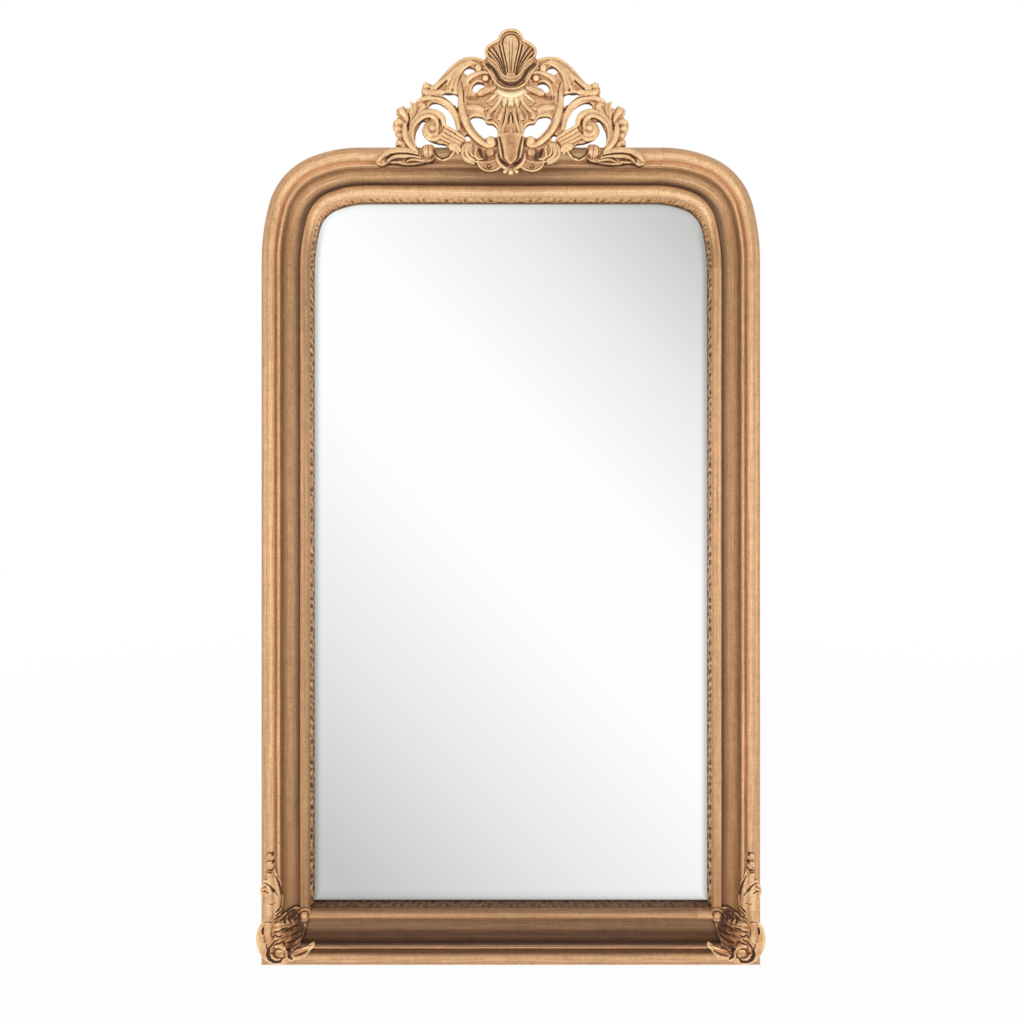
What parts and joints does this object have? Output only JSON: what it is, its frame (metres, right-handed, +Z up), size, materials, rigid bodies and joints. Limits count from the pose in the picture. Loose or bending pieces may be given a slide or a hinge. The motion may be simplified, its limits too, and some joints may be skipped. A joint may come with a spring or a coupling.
{
  "type": "wall mirror",
  "caption": "Tall arched wall mirror in a deep gilded frame, with a pierced crest around a shell, leaf ornaments on the lower corners and hanging rings on its back.",
  "frame": {"origin": "on the wall plane, midway between the two wall hooks, at the height where the hanging rings bear on them", "axes": "+X to the right as seen from the front, +Y from the viewer towards the wall, +Z up"},
  "size_m": [0.974, 0.118, 1.797],
  "materials": {
    "gilt_moulding": "water gilding over red-brown bole, worn, dark in the hollows",
    "carved_gilt": "carved and gilded, dark brown in the crevices",
    "burnished_gilt_slip": "smooth burnished gilding",
    "pressed_leaf_strip": "pressed leaf pattern, dark, with gilded high points",
    "plain_wood": "sawn softwood, aged",
    "back_board": "thin board, unfinished",
    "packing_card": "grey-brown card",
    "mirror_glass": "silvered plate glass without a bevel",
    "rubber": "matt black",
    "hanging_hardware": "zinc-plated steel, dulled"
  },
  "bodies": {
    "mirror": {"back_board": "back_board", "bottom_inner_slip": "burnished_gilt_slip", "bottom_leaf_strip": "pressed_leaf_strip", "bottom_rail": "gilt_moulding", "bracket_screws": "hanging_hardware", "crest_batten": "plain_wood", "crest_bracket": "hanging_hardware", "crest_collar": "carved_gilt", "crest_palmette": "carved_gilt", "crest_scrollwork": "carved_gilt", "crest_shell": "carved_gilt", "crest_urn": "carved_gilt", "hanger_screws": "hanging_hardware", "left_corner_leaf": "carved_gilt", "left_crest_apron": "carved_gilt", "left_crest_foot": "carved_gilt", "left_hanger_strap": "hanging_hardware", "left_husks": "carved_gilt", "left_inner_slip": "burnished_gilt_slip", "left_leaf_strip": "pressed_leaf_strip", "left_stile": "gilt_moulding", "mirror_glass": "mirror_glass", "packing_sheet": "packing_card", "right_corner_leaf": "carved_gilt", "right_crest_apron": "carved_gilt", "right_crest_foot": "carved_gilt", "right_hanger_strap": "hanging_hardware", "right_husks": "carved_gilt", "right_inner_slip": "burnished_gilt_slip", "right_leaf_strip": "pressed_leaf_strip", "right_stile": "gilt_moulding", "setting_blocks": "rubber", "shoulders_inner_slip": "burnished_gilt_slip", "shoulders_leaf_strip": "pressed_leaf_strip", "top_inner_slip": "burnished_gilt_slip", "top_leaf_strip": "pressed_leaf_strip", "top_rail": "gilt_moulding", "top_shoulders": "gilt_moulding", "wall_pads": "rubber"},
    "left_ring": {"left_hanger_ring": "hanging_hardware"},
    "right_ring": {"right_hanger_ring": "hanging_hardware"}
  },
  "joints": [
    {"name": "left_ring_swing", "type": "hinge", "parent": "mirror", "child": "left_ring", "pos_m": [-0.4515, -0.00432, -0.02397], "axis": [-1, 0, 0], "range_deg": [0, 182]},
    {"name": "right_ring_swing", "type": "hinge", "parent": "mirror", "child": "right_ring", "pos_m": [0.4515, -0.00432, -0.02397], "axis": [-1, 0, 0], "range_deg": [0, 182]}
  ]
}
